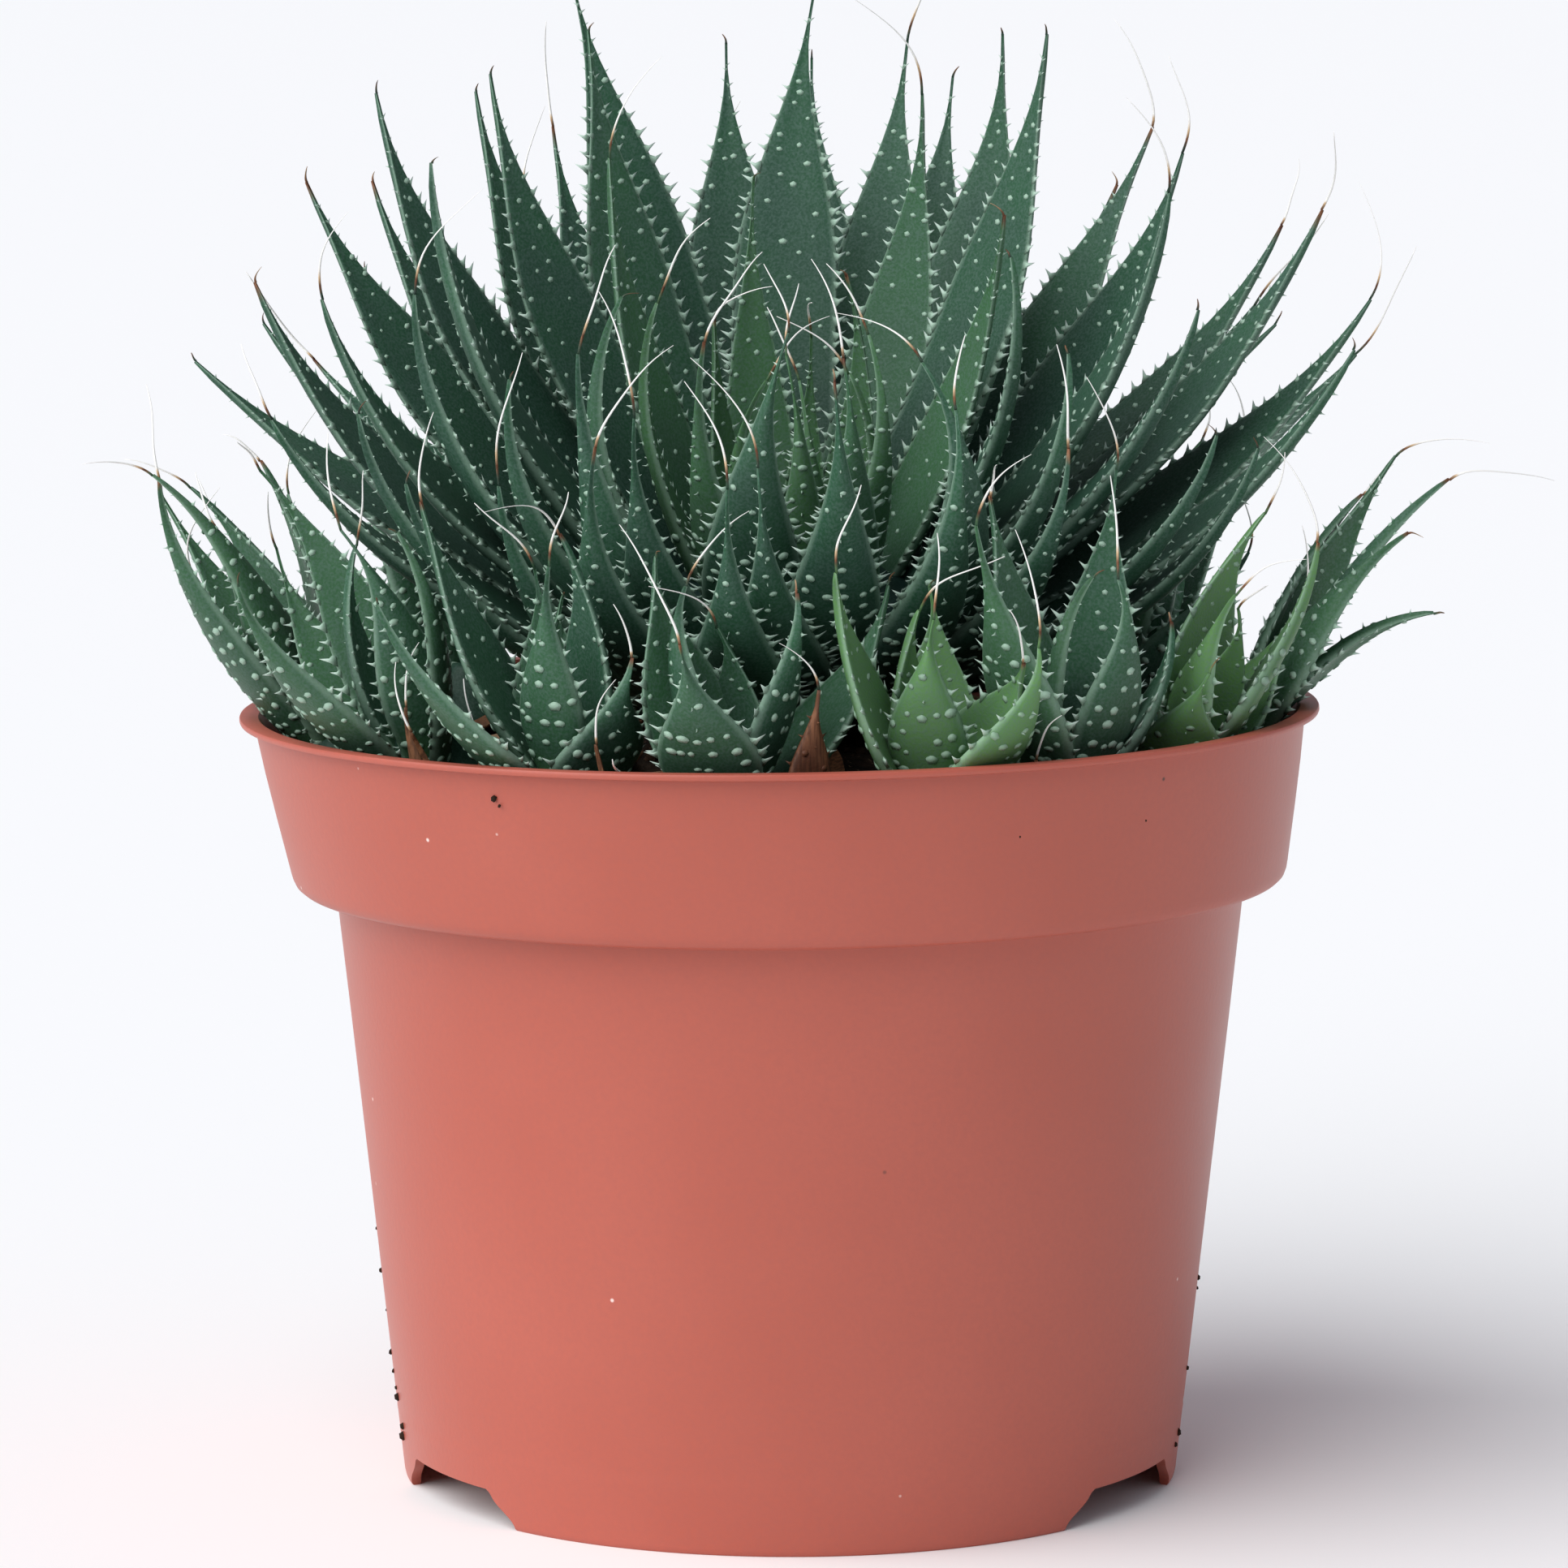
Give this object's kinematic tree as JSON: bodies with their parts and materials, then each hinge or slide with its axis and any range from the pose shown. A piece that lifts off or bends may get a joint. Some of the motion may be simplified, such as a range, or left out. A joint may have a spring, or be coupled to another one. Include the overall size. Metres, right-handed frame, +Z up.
{
  "type": "potted lace aloe",
  "caption": "Lace aloe in a round plastic nursery pot: a dense rosette of toothed, white-dotted leaves above a ring of small offsets.",
  "frame": {"origin": "on the ground under the middle of the whole plant; the pot's axis stands at X -4.1 mm, Y -5.7 mm", "axes": "+Z up; -Y is the front, the side that the picture shows; +X is to the right seen from the front"},
  "size_m": [0.1569, 0.1373, 0.1704],
  "materials": {
    "terracotta_plastic": "satin",
    "peat": "matte",
    "aloe_leaf": "satin",
    "young_leaf": "satin",
    "dry_leaf": "matte"
  },
  "bodies": {
    "root": {"pot": "terracotta_plastic", "soil": "peat", "main_rosette": "aloe_leaf", "dry_leaf": "dry_leaf", "offset_front": "aloe_leaf", "offset_front_left": "aloe_leaf", "offset_left_front": "aloe_leaf", "offset_left": "aloe_leaf", "offset_back_left": "aloe_leaf", "offset_back": "aloe_leaf", "offset_back_right": "aloe_leaf", "offset_right": "aloe_leaf", "offset_right_young": "young_leaf", "offset_right_front": "aloe_leaf", "offset_front_young": "young_leaf"}
  },
  "joints": []
}
